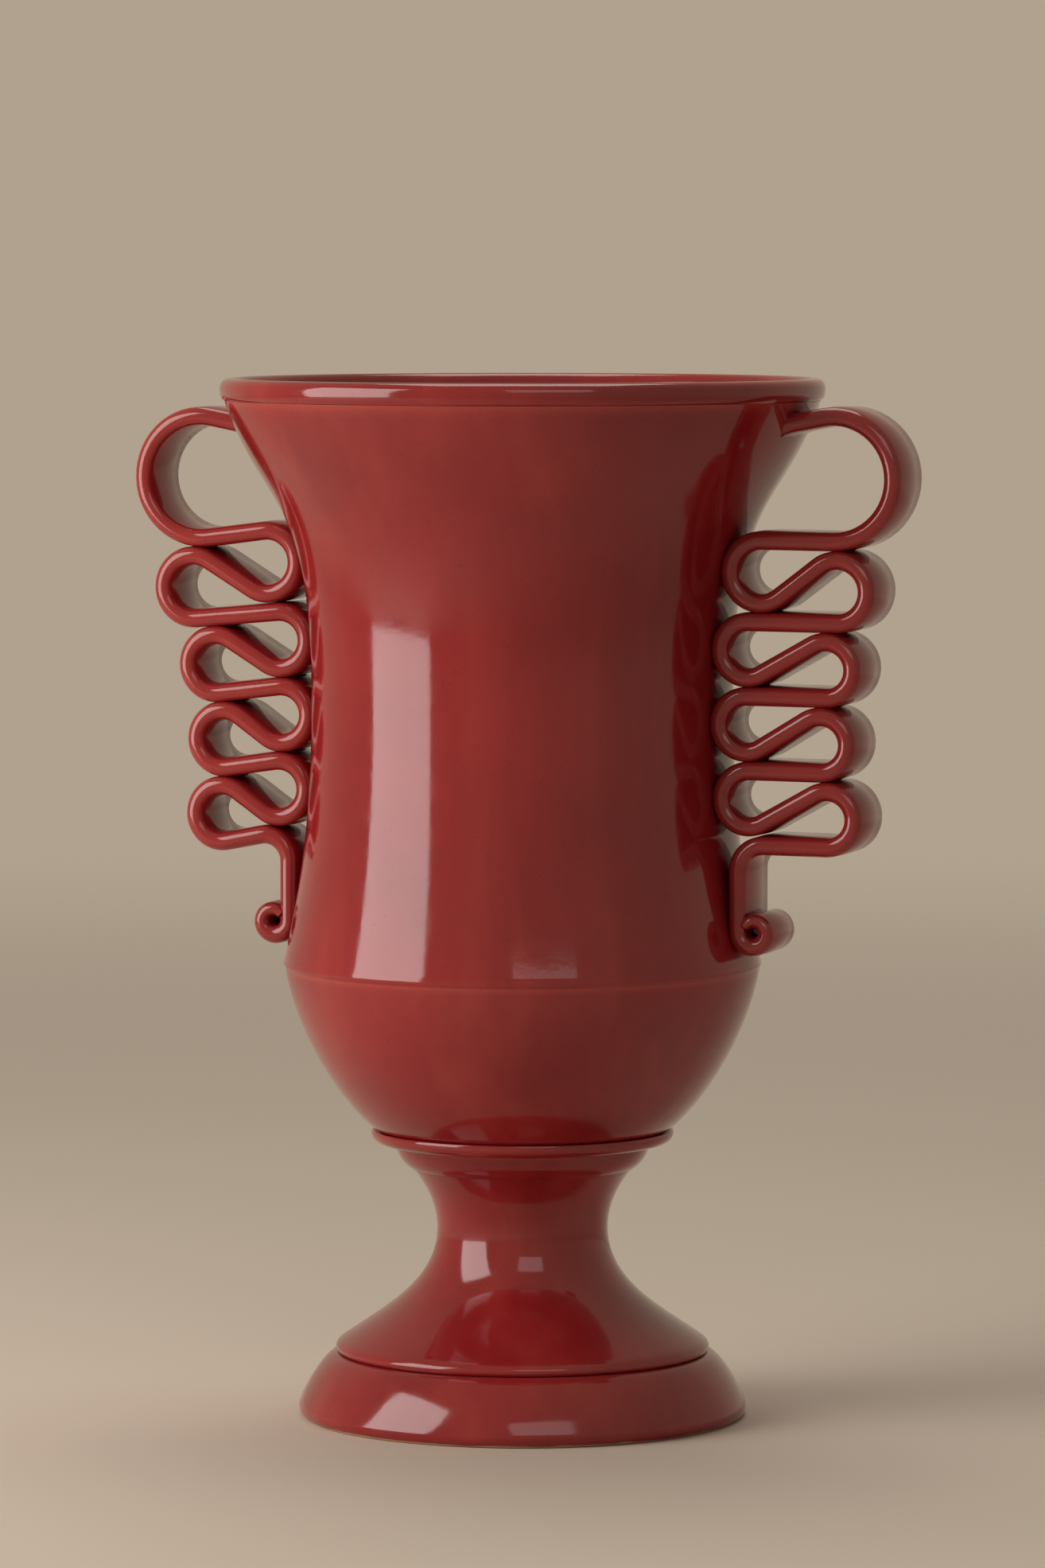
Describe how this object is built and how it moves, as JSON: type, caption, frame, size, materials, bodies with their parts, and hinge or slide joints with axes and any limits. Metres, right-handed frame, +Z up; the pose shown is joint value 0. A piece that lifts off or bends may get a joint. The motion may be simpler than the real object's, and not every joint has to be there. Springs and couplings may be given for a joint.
{
  "type": "loop handle vase",
  "caption": "Footed vase with a flared wall, a rolled lip and two handles, each one flat strap folded back and forth below a wide finger loop and rolled up at its end.",
  "frame": {"origin": "centre of the foot ring on the surface the vase stands on", "axes": "+Z up along the vase's axis, the two handles lie along +X and -X"},
  "size_m": [0.2951, 0.2206, 0.38],
  "materials": {
    "red_glaze": "high gloss oxblood red glaze, lighter where it breaks over edges"
  },
  "bodies": {
    "root": {"foot_ring": "red_glaze", "hollow_stem": "red_glaze", "collar_coil": "red_glaze", "bowl": "red_glaze", "flared_wall": "red_glaze", "rolled_lip": "red_glaze", "right_handle_strap": "red_glaze", "left_handle_strap": "red_glaze"}
  },
  "joints": []
}
